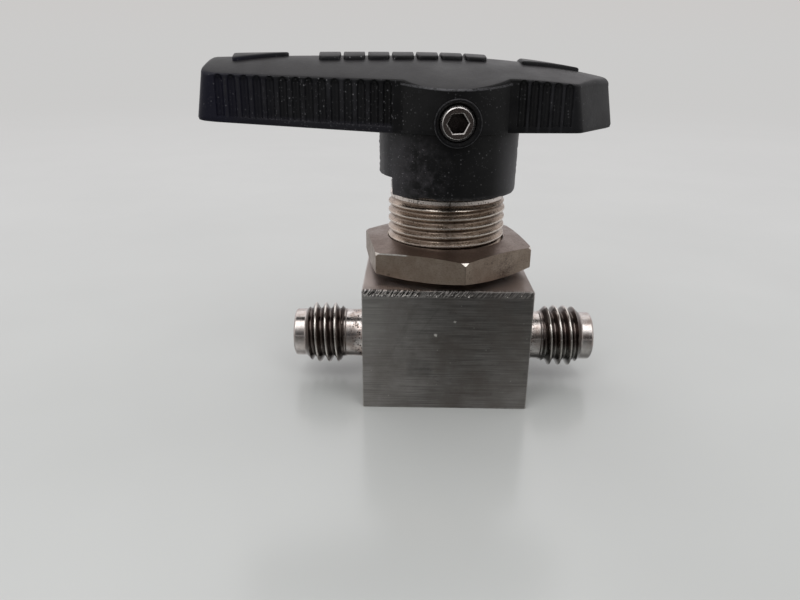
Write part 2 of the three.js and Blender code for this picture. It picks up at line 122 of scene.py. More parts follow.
LONG_ARM = 28.9
SHORT_ARM = 19.3
LONG_TIP_HALF = 3.6
ARM_HALF = 6.5
SHORT_TIP_HALF = 1.3
SHORT_CORNER = 14.2
BULGE_RADIUS = 8.75
UNDERSIDE = 32.65
LONG_TIP_RISE = 0.95
SKIRT_RADIUS = 8.22
SKIRT_BOTTOM = node_box("handle")[0].z
CAVITY_RADIUS = 7.2
CAVITY_TOP = 29.8
POCKET_RADIUS = 5.7
POCKET_TOP = 38.3
NOTCH_TOP = 27.4
NOTCH_START = math.radians(99.9)
NOTCH_END = math.radians(213)


# ---- Mesh helpers ----

def new_object(name, mesh):
    obj = bpy.data.objects.new(name, mesh)
    bpy.context.scene.collection.objects.link(obj)
    return obj


def object_from_bmesh(name, bm):
    bmesh.ops.recalc_face_normals(bm, faces=bm.faces)
    mesh = bpy.data.meshes.new(name)
    bm.to_mesh(mesh)
    bm.free()
    return new_object(name, mesh)


def grid_object(name, rows, weld=1e-4):
    """A closed surface from rows of points, each row joined to the next; equal points are welded."""
    bm = bmesh.new()
    made = [[bm.verts.new(point) for point in row] for row in rows]
    for lower, upper in zip(made, made[1:]):
        for i in range(len(lower) - 1):
            bm.faces.new((lower[i], lower[i + 1], upper[i + 1], upper[i]))
    bmesh.ops.remove_doubles(bm, verts=bm.verts, dist=weld)
    return object_from_bmesh(name, bm)


def revolve(name, rows, columns, slot=0):
    """A solid turned about Z. A row is (radius, height), or a function from the angle to that pair.

    All its faces use one material slot.
    """
    points = []
    for row in rows:
        ring = []
        for column in range(columns + 1):
            angle = TAU * column / columns
            radius, height = row(angle) if callable(row) else row
            ring.append((radius * math.cos(angle), radius * math.sin(angle), height))
        points.append(ring)
    obj = grid_object(name, points)
    for polygon in obj.data.polygons:
        polygon.material_index = slot
    return obj


def thread_rows(crest, root, pitch, start, end):
    """Rows of a right-hand thread that runs in from the root at both ends with a 45 degree chamfer."""
    profile = ((-0.07, 0.97), (0.0, 1.0), (0.07, 0.97), (0.16, 0.72), (0.25, 0.46), (0.34, 0.2),
               (0.42, 0.04), (0.5, 0.0), (0.58, 0.04), (0.66, 0.2), (0.75, 0.46), (0.84, 0.72))
    rows = []
    for turn in range(-1, math.ceil((end - start) / pitch) + 1):
        for phase, level in profile:
            def row(angle, turns=turn + phase, level=level):
                height = start + pitch * (turns + angle / TAU)
                height = min(max(height, start), end)
                run_in = root + min(height - start, end - height)
                return min(root + (crest - root) * level, run_in), height
            rows.append(row)
    return rows


def combine(target, other, operation):
    """Joins other to target, cuts it away or keeps what both share, and removes other."""
    modifier = target.modifiers.new(operation, "BOOLEAN")
    modifier.operation = operation
    modifier.solver = "MANIFOLD"
    modifier.object = other
    depsgraph = bpy.context.evaluated_depsgraph_get()
    mesh = bpy.data.meshes.new_from_object(target.evaluated_get(depsgraph))
    target.modifiers.clear()
    target.data = mesh
    bpy.data.objects.remove(other)


def close_between(bm, lower, upper):
    """Faces that close two rings of vertices and join them."""
    bm.faces.new(lower)
    bm.faces.new(upper)
    count = len(lower)
    for i in range(count):
        j = (i + 1) % count
        bm.faces.new((lower[i], lower[j], upper[j], upper[i]))


def prism(name, outline, bottom, top, broken=0.0):
    """A straight solid over an outline of (x, y) points. A narrow flat can break its edges."""
    bm = bmesh.new()
    lower = [bm.verts.new((x, y, bottom)) for x, y in outline]
    upper = [bm.verts.new((x, y, top)) for x, y in outline]
    close_between(bm, lower, upper)
    if broken:
        bmesh.ops.recalc_face_normals(bm, faces=bm.faces)
        bmesh.ops.bevel(bm, geom=bm.edges[:], offset=broken, segments=1, affect="EDGES")
    return object_from_bmesh(name, bm)


def hexagon(across_flats, corner_angle):
    corner = across_flats / math.sqrt(3)
    angles = [corner_angle + i * TAU / 6 for i in range(6)]
    return [(corner * math.cos(angle), corner * math.sin(angle)) for angle in angles]


def bevelled_box(name, low, high, width):
    bm = bmesh.new()
    bmesh.ops.create_cube(bm, size=1)
    placed = Matrix.Translation((low + high) / 2) @ Matrix.Diagonal((*(high - low), 1))
    bmesh.ops.transform(bm, verts=bm.verts, matrix=placed)
    bmesh.ops.bevel(bm, geom=bm.edges[:], offset=width, segments=2, profile=0.5, affect="EDGES")
    return object_from_bmesh(name, bm)


def laid(obj, turn, axis, height):
    """Turns a piece that was made about Z by an angle about another axis, then lifts it."""
    obj.data.transform(Matrix.Translation((0, 0, height)) @ Matrix.Rotation(turn, 4, axis))
    return obj


def finish_piece(obj, body, materials, nodes, sharp_angle=32):
    """Scales a piece to metres, shades it, gives it its materials and mounts it on its body."""
    obj.data.transform(Matrix.Scale(MM, 4))
    if not any(obj.data.materials):
        obj.data.materials.clear()
        for material in materials:
            obj.data.materials.append(material)
    obj.data.shade_smooth()
    obj.data.set_sharp_from_angle(angle=math.radians(sharp_angle))
    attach(obj, body)
    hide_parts(*nodes)
    return obj


# ---- Materials ----

class Graph:
    """A material or world under construction: adds shader nodes and links them."""

    def __init__(self, name, world=False):
        self.material = (bpy.data.worlds if world else bpy.data.materials).new(name)
        self.material.use_nodes = True
        self.tree = self.material.node_tree
        self.tree.nodes.clear()

    def add(self, kind, inputs=None, **settings):
        node = self.tree.nodes.new("ShaderNode" + kind)
        for key, value in settings.items():
            setattr(node, key, value)
        for key, value in (inputs or {}).items():
            if isinstance(value, bpy.types.NodeSocket):
                self.tree.links.new(value, node.inputs[key])
            else:
                node.inputs[key].default_value = value
        return node

    def finish(self, shader, output_kind="OutputMaterial"):
        output = self.add(output_kind)
        self.tree.links.new(shader.outputs[0], output.inputs["Surface"])

    def position(self):
        """The point on the piece, in millimetres."""
        return self.scaled(self.add("TexCoord").outputs["Object"], (1000, 1000, 1000))

    def scaled(self, vector, scale):
        return self.add("VectorMath", {0: vector, 1: scale}, operation="MULTIPLY").outputs[0]

    def distance(self, vector, place):
        return self.add("VectorMath", {0: vector, 1: place}, operation="DISTANCE").outputs["Value"]

    def noise(self, vector, scale, detail=4.0, roughness=0.55, distortion=0.0):
        settings = {"Vector": vector, "Scale": scale, "Detail": detail, "Roughness": roughness,
                    "Distortion": distortion}
        return self.add("TexNoise", settings).outputs["Fac"]

    def spots(self, vector, scale, size, softness, share=1.0):
        """Separate dots in a share of the cells of a random grid: 1 inside a dot, 0 between them."""
        cells = self.add("TexVoronoi", {"Vector": vector, "Scale": scale})
        dots = self.span(cells.outputs["Distance"], size + softness, size)
        chosen = self.add("SeparateColor", {0: cells.outputs["Color"]}).outputs[0]
        return self.times(dots, self.math("LESS_THAN", chosen, share))

    def span(self, value, low, high, to_low=0.0, to_high=1.0):
        """Maps a value from one range onto another and keeps it inside."""
        limits = {"Value": value, "From Min": low, "From Max": high,
                  "To Min": to_low, "To Max": to_high}
        return self.add("MapRange", limits, clamp=True).outputs[0]

    def smooth(self, value, low, high):
        """Like span from 0 to 1, with soft ends."""
        limits = {"Value": value, "From Min": low, "From Max": high}
        return self.add("MapRange", limits, clamp=True, interpolation_type="SMOOTHSTEP").outputs[0]

    def math(self, operation, first, second=0.0):
        return self.add("Math", {0: first, 1: second}, operation=operation).outputs[0]

    def plus(self, first, second):
        return self.math("ADD", first, second)

    def minus(self, first, second):
        return self.math("SUBTRACT", first, second)

    def absolute(self, value):
        return self.math("ABSOLUTE", value)

    def times(self, first, *others):
        """The product of two or more values."""
        for other in others:
            first = self.math("MULTIPLY", first, other)
        return first

    def highest(self, first, *others):
        for other in others:
            first = self.math("MAXIMUM", first, other)
        return first

    def mix(self, factor, first, second):
        node = self.add("Mix", {"Factor": factor}, data_type="RGBA")
        for index, value in ((6, first), (7, second)):
            if isinstance(value, bpy.types.NodeSocket):
                self.tree.links.new(value, node.inputs[index])
            else:
                node.inputs[index].default_value = (*value, 1)
        return node.outputs[2]

    def over(self, color, new, *shares):
        """A colour with a new one laid over it, as thick as the product of the shares."""
        return self.mix(self.times(*shares), color, new)

    def axes(self, vector):
        return self.add("SeparateXYZ", {0: vector}).outputs[:3]

    def combined(self, x, y, z):
        return self.add("CombineXYZ", {0: x, 1: y, 2: z}).outputs[0]

    def near(self, value, middle, reach, softness):
        """1 within reach of a middle value, fading to 0 over the softness."""
        away = self.absolute(self.minus(value, middle))
        return self.span(away, reach + softness, reach)

    def facing(self, direction):
        """The share of the surface normal along a direction of the piece's own frame."""
        vectors = {0: self.add("TexCoord").outputs["Normal"], 1: direction}
        return self.add("VectorMath", vectors, operation="DOT_PRODUCT").outputs["Value"]

    def radius(self, vector):
        """Distance from the Z axis, in millimetres."""
        flat = self.scaled(vector, (1, 1, 0))
        return self.add("VectorMath", {0: flat}, operation="LENGTH").outputs["Value"]

    def coat(self, new, *shares):
        """Lays a colour over the piece's own, as thick as the product of the shares."""
        self.color = self.over(self.color, new, *shares)

    def surface(self, roughness, *bumps, metallic=1.0, gloss=0.5):
        """The finished material. Each bump is (height, strength, depth in millimetres)."""
        inputs = {"Base Color": self.color, "Metallic": metallic, "Roughness": roughness,
                  "Specular IOR Level": gloss}
        for height, strength, depth in bumps:
            bump = {"Height": height, "Strength": strength, "Distance": depth * MM}
            if "Normal" in inputs:
                bump["Normal"] = inputs["Normal"]
            inputs["Normal"] = self.add("Bump", bump).outputs["Normal"]
        self.finish(self.add("BsdfPrincipled", inputs))
        return self.material


def block_steel():
    """Milled stainless steel: fine lines along the flow axis, stains, bright nicks, edges lightened by
    wear and painted highlight, and painted light towards the top left.
    """
    g = Graph("milled_steel")
    p = g.position()
    x, y, z = g.axes(p)
    lines = g.noise(g.scaled(p, (0.16, 7, 7)), 1, detail=4, roughness=0.65)
    fine = g.noise(g.scaled(p, (0.6, 22, 22)), 1, detail=2)
    stain = g.noise(p, 0.2, detail=5, roughness=0.62)
    blotch = g.noise(g.scaled(p, (0.5, 1, 1)), 0.9, detail=5, roughness=0.7)
    g.color = g.mix(g.span(lines, 0.36, 0.62), (0.13, 0.123, 0.118), (0.255, 0.243, 0.233))
    g.coat((0.135, 0.118, 0.105), g.span(stain, 0.4, 0.64, 0, 0.6))
    g.coat((0.07, 0.065, 0.062), g.span(blotch, 0.58, 0.72, 0, 0.6))
    # Painted light: the block is lighter towards the top and the left, with a ragged border that
    # follows the stains.
    painted_light_border = g.plus(x, g.times(stain, 9))
    g.coat((0.52, 0.5, 0.485), g.smooth(painted_light_border, 6, -7), g.smooth(z, -4, 17),
           g.span(lines, 0.3, 0.6, 0.6, 1))
    g.coat((0.3, 0.29, 0.28), g.smooth(x, 2, 9), 0.1)
    front = g.span(y, -BLOCK_HALF + 0.3, -BLOCK_HALF + 0.1)
    patch = g.times(g.near(x, -3.1, 1, 0.7), g.near(z, 5.4, 0.75, 0.6), front)
    g.coat((0.05, 0.048, 0.047), patch, g.span(blotch, 0.35, 0.6, 0.5, 1), 0.42)
    g.coat((0.42, 0.35, 0.32), g.span(g.facing((0, 0, 1)), 0.9, 1), 0.8)
    edge = g.times(g.span(y, -BLOCK_HALF + 0.6, -BLOCK_HALF + 0.2),
                   g.span(z, BLOCK_TOP - 0.85, BLOCK_TOP - 0.45))
    slanted = g.plus(x, g.times(z, -0.75))
    jaws = g.noise(g.combined(g.times(slanted, 4.6), g.times(z, 0.4), 0), 1, detail=3)
    burr = g.times(edge, g.span(jaws, 0.5, 0.55))
    worn = g.highest(g.span(x, -2.8, -3.6), g.times(g.near(x, 0.6, 1.8, 1), 0.6), 0.22)
    g.coat((0.03, 0.027, 0.027), edge, worn, 0.92)
    g.coat((1, 0.95, 0.92), burr, worn)
    # Painted highlight and wear: the bevelled edges, which face no axis squarely, are lightened.
    broken = g.highest(*(g.absolute(g.facing(axis)) for axis in ((1, 0, 0), (0, 1, 0), (0, 0, 1))))
    g.coat((0.9, 0.88, 0.84), g.span(broken, 0.97, 0.88, 0, 0.8))
    g.coat((0.6, 0.58, 0.55), g.spots(p, 1.9, 0.1, 0.1, share=0.06), 0.3)
    ragged = g.noise(p, 3.5, detail=3)
    for place, reach in (((-1.3, -BLOCK_HALF, 9.8), 0.2), ((0.9, -BLOCK_HALF, 11.5), 0.12)):
        away = g.distance(p, place)
        nick = g.span(g.plus(away, g.times(ragged, 0.6)), reach + 0.36, reach + 0.18)
        g.coat((0.85, 0.82, 0.78), nick, front)
    roughness = g.span(g.plus(lines, stain), 0.8, 1.25, 0.36, 0.54)
    return g.surface(roughness, (lines, 0.5, 0.03), (fine, 0.35, 0.012), (burr, 0.8, 0.1))


def bonnet_steel():
    """Threaded stainless steel with a warm tarnish, bright crests, darker roots, a painted highlight on
    the left and a plain land painted near white as a highlight.
    """
    g = Graph("bonnet_thread_steel")
    p = g.position()
    x, _, z = g.axes(p)
    r = g.radius(p)
    crest = g.span(r, BONNET_CREST - 0.07, BONNET_CREST - 0.02)
    root = g.span(r, BONNET_ROOT + 0.12, BONNET_ROOT + 0.02)
    tarnish = g.noise(p, 0.45, detail=5, roughness=0.62)
    turning = g.noise(g.scaled(p, (2.4, 2.4, 9)), 1, detail=5, roughness=0.7)
    g.color = g.mix(g.span(tarnish, 0.38, 0.66), (0.36, 0.285, 0.225), (0.22, 0.16, 0.12))
    g.coat((0.5, 0.42, 0.35), g.span(turning, 0.42, 0.62, 0, 0.7))
    g.coat((0.1, 0.072, 0.055), root, 0.6)
    g.coat((0.8, 0.73, 0.66), crest)
    land = g.span(z, BONNET_TOP - 0.8, BONNET_TOP - 0.65)
    # Painted highlight: lighter towards the left.
    g.coat((0.62, 0.5, 0.42), g.smooth(x, 2, -7), 0.35)
    # Painted highlight: the plain land is near white.
    g.coat((0.95, 0.87, 0.82), land, 0.85)
    grit = g.times(g.spots(p, 3.6, 0.3, 0.16, share=0.5), g.span(tarnish, 0.44, 0.6))
    g.coat((0.06, 0.042, 0.034), grit, 0.6)
    ticks = g.noise(g.scaled(p, (2.4, 2.4, 0.3)), 1, detail=3)
    g.coat((0.07, 0.05, 0.04), land, g.span(ticks, 0.6, 0.66), 0.8)
    roughness = g.span(g.plus(turning, tarnish), 0.75, 1.3, 0.2, 0.42)
    return g.surface(roughness, (turning, 0.6, 0.03), (g.times(grit, -1), 0.5, 0.05))


def end_steel():
    """Bright turned steel on the tube ends, pitted beside the block."""
    g = Graph("tube_end_steel")
    p = g.position()
    x, y, z = g.axes(p)
    height = g.minus(z, FLOW_Z)
    r = g.math("SQRT", g.plus(g.math("POWER", height, 2), g.math("POWER", y, 2)))
    along = g.absolute(x)
    crest = g.span(r, END_CREST - 0.09, END_CREST - 0.02)
    threaded = g.times(g.span(along, END_THREAD_START - 0.3, END_THREAD_START),
                       g.span(along, END_THREAD_END + 0.2, END_THREAD_END - 0.1))
    root = g.times(g.span(r, END_CREST - 0.08, END_CREST - 0.3), threaded)
    rings = g.noise(g.scaled(p, (14, 0.4, 0.4)), 1, detail=4, roughness=0.6)
    cloud = g.noise(p, 0.7, detail=5, roughness=0.62)
    g.color = g.mix(g.span(cloud, 0.38, 0.66), (0.66, 0.62, 0.6), (0.46, 0.39, 0.36))
    g.coat((0.062, 0.044, 0.037), root, 0.9)
    g.coat((0.66, 0.62, 0.58), crest)
    near_block = g.span(along, END_THREAD_START + 0.2, BLOCK_HALF + 1.2)
    g.coat((0.3, 0.2, 0.15), near_block, g.span(cloud, 0.42, 0.6), 0.45)
    pitted = g.times(g.span(along, BLOCK_HALF + 2.3, BLOCK_HALF + 0.9), g.span(cloud, 0.3, 0.45))
    pits = g.times(g.spots(p, 3.4, 0.36, 0.08, share=0.75), pitted)
    g.coat((0.03, 0.022, 0.02), pits, 0.92)
    # Painted shade: the lower half of each end is darker in patches, most towards the right.
    g.coat((0.2, 0.2, 0.19), g.smooth(height, 0.3, -0.9), g.span(cloud, 0.3, 0.6, 0.6, 0.85),
           g.span(x, -BLOCK_HALF, BLOCK_HALF, 0.3, 1))
    roughness = g.span(g.plus(rings, cloud), 0.7, 1.35, 0.12, 0.3)
    return g.surface(roughness, (rings, 0.3, 0.012), (g.times(pits, -1), 0.6, 0.03))


def bore_steel():
    """The bored insides: duller and darker than the outside."""
    g = Graph("bored_steel")
    p = g.position()
    rings = g.noise(g.scaled(p, (10, 1, 4)), 1, detail=3)
    g.color = g.mix(g.span(rings, 0.3, 0.7), (0.2, 0.19, 0.18), (0.36, 0.34, 0.32))
    return g.surface(g.span(rings, 0.3, 0.7, 0.3, 0.5), (rings, 0.4, 0.02))


def nut_steel():
    """Satin stainless steel with a warm brown tarnish on the panel nut, and painted highlights on its
    chamfers and on its top edge at the front left.
    """
    g = Graph("nut_steel")
    p = g.position()
    x, y, z = g.axes(p)
    cloud = g.noise(p, 0.32, detail=6, roughness=0.65)
    grain = g.noise(g.scaled(p, (1, 1, 2)), 4, detail=4, roughness=0.65)
    g.color = g.mix(g.span(cloud, 0.38, 0.64), (0.4, 0.325, 0.265), (0.27, 0.208, 0.165))
    g.coat((0.16, 0.13, 0.105), g.span(grain, 0.5, 0.7, 0, 0.6))
    blots = g.span(g.noise(p, 0.75, detail=6, roughness=0.72), 0.58, 0.68)
    g.coat((0.1, 0.072, 0.06), blots, 0.65)
    up = g.facing((0, 0, 1))
    g.coat((0.16, 0.115, 0.1), g.span(up, 0.9, 0.97), 0.7)
    away = g.distance(p, (6.9, -6.65, 17.1))
    g.coat((0.07, 0.045, 0.038), g.span(away, 2.1, 0.8), g.span(cloud, 0.36, 0.56, 0.3, 1),
           g.span(grain, 0.38, 0.6, 0.25, 1), 0.75)
    # Painted highlights: a bright line just below the top edge at the front left, and lightened
    # chamfers.
    top = NUT_HIGH.z
    below_edge = g.minus(g.span(g.radius(p), BONNET_CREST, NUT_RIM_RADIUS, top, top - NUT_RIM_DROP), z)
    g.coat((1, 0.97, 0.93), g.span(below_edge, 0.2, 0.1), g.near(x, -6.6, 1.6, 0.3),
           g.span(y, -5, -6), g.span(up, 0.93, 0.86), g.span(grain, 0.3, 0.5, 0.4, 1))
    g.coat((0.85, 0.8, 0.74), g.span(up, 0.2, 0.4), g.span(up, 0.93, 0.86), 0.9)
    roughness = g.span(g.plus(cloud, grain), 0.8, 1.25, 0.3, 0.5)
    return g.surface(roughness, (grain, 0.35, 0.03), (blots, 0.3, 0.02))


def black_nylon():
    """Moulded black nylon: a fine grain, dull rubbed patches, dust, pale scratches and worn edges."""
    g = Graph("black_nylon")
    p = g.position()
    x, y, z = g.axes(p)
    r = g.radius(p)
    grain = g.noise(p, 5, detail=5, roughness=0.6)
    rubbed = g.noise(p, 0.3, detail=5, roughness=0.6)
    g.color = g.mix(g.span(rubbed, 0.35, 0.7), (0.0042, 0.0044, 0.005), (0.0095, 0.0095, 0.0102))
    # Painted light and shade: the arms are lighter than the hub, and the hub's front face is darker.
    g.coat((0.0165, 0.017, 0.02), g.span(g.absolute(x), 7.5, 11.5, 0, 0.5))
    g.coat((0.0012, 0.0014, 0.0024), g.span(y, -8.4, -8.9))
    # Painted reflection: a lighter bluish tint towards the left end.
    g.coat((0.011, 0.011, 0.023), g.span(x, -19, -26, 0, 0.9))
    g.coat((0.075, 0.073, 0.08), g.span(z, UNDERSIDE, UNDERSIDE - 0.6),
           g.span(r, SKIRT_RADIUS - 0.8, SKIRT_RADIUS - 0.5), g.smooth(g.absolute(x), 4, 8),
           g.span(rubbed, 0.3, 0.6, 0.6, 1))
    on_flutes = g.times(g.span(x, -26.7, -26.5), g.span(x, -6.8, -7), g.span(z, 34, 34.6),
                        g.span(z, 38.6, 38.2))
    on_flutes_below = g.times(g.span(x, -26.7, -20), g.span(x, -6.8, -7.2))
    on_short_flutes = g.times(g.span(x, 6.7, 6.9), g.span(x, 13.1, 12.9))
    ridge = g.math("PINGPONG", g.plus(x, LONG_FLUTE_PITCH / 2 - LONG_FLUTE_START), LONG_FLUTE_PITCH / 2)
    short_ridge = g.math("PINGPONG", g.plus(x, SHORT_FLUTE_PITCH / 2 - SHORT_FLUTE_START),
                         SHORT_FLUTE_PITCH / 2)
    ridge_highlight = g.plus(g.times(g.span(ridge, 0.28, 0.05), on_flutes),
                    g.times(g.span(short_ridge, 0.22, 0.04), on_short_flutes))
    # Painted highlight on the ridges between the flutes, patchy with the rubbing noise.
    g.coat((0.026, 0.026, 0.03), ridge_highlight, g.span(g.absolute(y), 3.4, 3.7),
           g.span(rubbed, 0.4, 0.6, 0.1, 1))
    # Painted light: the up-facing top of the crown is lighter, and dust specks are kept off it.
    painted_top_light = g.times(g.smooth(g.facing((0, 0, 1)), 0.6, 0.95), g.span(z, 36, 37))
    g.coat((0.024, 0.0228, 0.0245), painted_top_light)
    dusty = g.times(g.near(x, -13.5, 6.5, 3), g.span(y, 0, -1))
    dust_patches = g.span(g.noise(p, 0.22, detail=3), 0.42, 0.6, 0.1, 1)
    dust_patches = g.times(g.highest(g.times(dust_patches, 0.4), dusty), g.minus(1, painted_top_light))
    g.coat((0.4, 0.4, 0.42), g.spots(p, 2.4, 0.15, 0.1, share=0.24), dust_patches, 0.5)
    line_height = g.plus(z, g.times(x, LONG_TIP_RISE / (LONG_ARM - SKIRT_RADIUS)))
    g.coat((0.022, 0.0215, 0.028), g.span(line_height, UNDERSIDE + 0.75, UNDERSIDE + 0.55),
           on_flutes_below, g.span(y, -2.5, -3), 0.8)
    g.coat((0.12, 0.115, 0.13), g.near(line_height, UNDERSIDE + 0.34, 0.04, 0.06),
           on_flutes_below, g.span(grain, 0.42, 0.62), 0.5)
    g.coat((0.3, 0.3, 0.32), g.spots(p, 4.5, 0.24, 0.14, share=0.22), dust_patches, 0.2)
    scuffed = g.span(g.distance(p, (-4.9, -6.6, 28.2)), 5.2, 2.2)
    streaks = g.noise(g.scaled(p, (2.2, 2.2, 5.5)), 1, detail=5, roughness=0.7, distortion=1.2)
    haze = g.noise(p, 0.9, detail=6, roughness=0.7)
    scuffs = g.times(scuffed, g.span(haze, 0.44, 0.72))
    g.coat((0.085, 0.08, 0.09), scuffs, 0.6)
    scratches = g.span(g.noise(g.scaled(p, (1.2, 1.2, 5)), 1, detail=1, distortion=2.5), 0.71, 0.74)
    g.coat((0.4, 0.38, 0.4), scuffed, scratches, g.span(haze, 0.45, 0.55), 0.8)
    hub_edge = g.minus(z, g.times(x, x, 0.014))
    rim = g.times(g.near(hub_edge, HUB_EDGE, 0.06, 0.1), g.near(r, BULGE_RADIUS - 0.1, 0.16, 0.06),
                  g.span(streaks, 0.38, 0.52))
    # Painted highlight: a thin light ring round the screw hole, laid on together with the worn line
    # along the hub's top edge.
    screw_distance = g.distance(g.scaled(p, (1, 0, 1)), (0, 0, SCREW_Z))
    ring = g.times(g.near(screw_distance, 2.55, 0.03, 0.06), g.span(y, -8.5, -8.75))
    rim = g.highest(rim, g.times(ring, g.span(streaks, 0.4, 0.6, 0.15, 0.8)))
    g.coat((0.2, 0.2, 0.215), rim, 0.5)
    hem = g.span(z, SKIRT_BOTTOM + 0.5, SKIRT_BOTTOM + 0.1)
    g.coat((0.2, 0.19, 0.2), hem, g.span(streaks, 0.48, 0.62), 0.35)
    roughness = g.span(g.plus(g.times(grain, 0.4), rubbed), 0.45, 0.95, 0.34, 0.5)
    roughness = g.plus(roughness, g.times(scuffs, 0.2))
    return g.surface(roughness, (grain, 0.2, 0.02), (rubbed, 0.25, 0.2), (scuffs, 0.4, 0.05),
                     metallic=0, gloss=0.27)


def dark_steel():
    """Dark alloy steel of the set screw, with a painted highlight on its chamfers and painted shade
    deeper in its socket.
    """
    g = Graph("set_screw_steel")
    p = g.position()
    y = g.axes(p)[1]
    cloud = g.noise(p, 1.6, detail=5, roughness=0.62)
    out = g.absolute(g.facing((0, -1, 0)))
    g.color = g.mix(g.span(cloud, 0.36, 0.66), (0.34, 0.29, 0.27), (0.16, 0.13, 0.12))
    # Painted shade: darker deeper in, inside the socket.
    g.coat((0.04, 0.035, 0.034), g.span(y, -8.1, -7.7), 0.8)
    # Painted highlight on the chamfers.
    g.coat((0.85, 0.82, 0.8), g.span(out, 0.3, 0.5), g.span(out, 0.95, 0.88))
    return g.surface(g.span(cloud, 0.3, 0.7, 0.18, 0.36), (g.noise(p, 5, detail=4), 0.35, 0.02))


def inner_look(name, light, dark, smoothest, roughest, metallic=1):
    """The look of a piece inside the valve: turned steel, or moulded or machined plastic."""
    g = Graph(name)
    p = g.position()
    if metallic:
        tone = g.noise(g.scaled(p, (1, 1, 12)), 1, detail=3)
        bump = (tone, 0.3, 0.02)
    else:
        tone = g.noise(p, 0.9, detail=4)
        bump = (g.noise(p, 6), 0.2, 0.02)
    g.color = g.over(light, dark, g.span(tone, 0.35, 0.7))
    return g.surface(g.span(tone, 0.3, 0.7, smoothest, roughest), bump, metallic=metallic)


# ---- Valve body ----

BLOCK_SLOT, BONNET_SLOT, END_SLOT, BORE_SLOT = range(4)


def tube_end(side):
    """The threaded end towards +X (side 1) or -X (side -1)."""
    rows = [(0, BLOCK_HALF - 0.5), (NECK_RADIUS + NECK_FLARE, BLOCK_HALF - 0.5)]
    for i in range(9):
        angle = i * TAU / 32
        rows.append((NECK_RADIUS + NECK_FLARE * (1 - math.sin(angle)),
                     BLOCK_HALF + FLARE_LENGTH * (1 - math.cos(angle))))
    rows += [(NECK_RADIUS, END_THREAD_START - 0.35), (END_ROOT, END_THREAD_START - 0.2)]
    rows += thread_rows(END_CREST, END_ROOT, END_PITCH, END_THREAD_START, END_THREAD_END)
    rows += [(NOSE_RADIUS + 0.04, END_THREAD_END + 0.08), (NOSE_RADIUS, END_THREAD_END + 0.2),
             (NOSE_RADIUS, END_THREAD_END + 0.24), (NOSE_RADIUS, PORT_TIP - 0.26),
             (NOSE_RADIUS, PORT_TIP - 0.22), (NOSE_RADIUS - 0.05, PORT_TIP - 0.1),
             (NOSE_RADIUS - 0.18, PORT_TIP), (0, PORT_TIP)]
    return laid(revolve("tube_end", rows, 112, END_SLOT), side * TAU / 4, "Y", FLOW_Z)


def flow_bore(side):
    mouth_length = (MOUTH_RADIUS - SOCKET_RADIUS) / math.tan(MOUTH_HALF_ANGLE)
    socket_end = PORT_TIP - SOCKET_DEPTH
    rows = [(0, CHAMBER_RADIUS - 1), (ORIFICE_RADIUS, CHAMBER_RADIUS - 1),
            (ORIFICE_RADIUS, socket_end - 0.4), (SOCKET_RADIUS, socket_end),
            (SOCKET_RADIUS, PORT_TIP - mouth_length),
            (MOUTH_RADIUS - 0.06, PORT_TIP - 0.22), (MOUTH_RADIUS + 0.16, PORT_TIP),
            (MOUTH_RADIUS + 0.3, PORT_TIP + 0.14), (0, PORT_TIP + 0.14)]
    return laid(revolve("flow_bore", rows, 64, BORE_SLOT), side * TAU / 4, "Y", FLOW_Z)


def bonnet():
    rows = [(0, BLOCK_TOP - 0.5), (BONNET_ROOT, BLOCK_TOP - 0.5)]
    rows += thread_rows(BONNET_CREST, BONNET_ROOT, BONNET_PITCH, BLOCK_TOP + 0.5, BONNET_TOP - 0.75)
    rows += [(BONNET_LAND - 0.08, BONNET_TOP - 0.7), (BONNET_LAND, BONNET_TOP - 0.62),
             (BONNET_LAND, BONNET_TOP - 0.22), (BONNET_LAND - 0.22, BONNET_TOP), (0, BONNET_TOP)]
    return revolve("bonnet", rows, 168, BONNET_SLOT)


def chamber():
    rows = [(0, CHAMBER_FLOOR), (CHAMBER_RADIUS, CHAMBER_FLOOR), (CHAMBER_RADIUS, BONNET_TOP - 0.3),
            (CHAMBER_RADIUS + 0.6, BONNET_TOP + 0.3), (0, BONNET_TOP + 0.3)]
    return revolve("chamber", rows, 96, BORE_SLOT)


def edge_nicks():
    """Slanted jaw marks cut across the top front edge of the block, thickest on the left."""
    bm = bmesh.new()
    edge = Vector((0, -BLOCK_HALF, BLOCK_TOP))
    x = -BLOCK_HALF + 0.25
    while x < BLOCK_HALF - 0.3:
        crowded = x < -3.2
        patch = -1.8 < x < 3.0
        if crowded or patch or random.random() < 0.25:
            depth = random.uniform(0.1, 0.34) * (1.0 if crowded else 0.5)
            width = random.uniform(0.05, 0.11)
            reach = random.uniform(0.3, 0.6)
            lean = Matrix.Rotation(math.radians(random.uniform(24, 38)), 4, "Y")
            tilt = Matrix.Rotation(math.radians(45), 4, "X")
            place = edge + Vector((x, 0, 0))
            rings = []
            for end in (-reach, reach):
                wedge = (Vector((-width, -1, end)), Vector((0, depth, end)), Vector((width, -1, end)))
                rings.append([bm.verts.new(place + lean @ (tilt @ point)) for point in wedge])
            close_between(bm, *rings)
        x += random.uniform(0.24, 0.36) if crowded else random.uniform(0.3, 0.5)
    return object_from_bmesh("edge_nicks", bm)


def valve_body(materials):
    low = Vector((-BLOCK_HALF, -BLOCK_HALF, 0))
    high = Vector((BLOCK_HALF, BLOCK_HALF, BLOCK_TOP))
    body = bevelled_box("valve_body_shape", low, high, 0.16)
    shapes = [bonnet(), tube_end(1), tube_end(-1)]
    cutters = [chamber(), flow_bore(1), flow_bore(-1), edge_nicks()]
    for obj in [body, *shapes, *cutters]:
        for material in materials:
            obj.data.materials.append(material)
    for shape in shapes:
        combine(body, shape, "UNION")
    for cutter in cutters:
        combine(body, cutter, "DIFFERENCE")
    return finish_piece(body, "housing", materials, ["valve_body"])


# ---- Panel nut ----

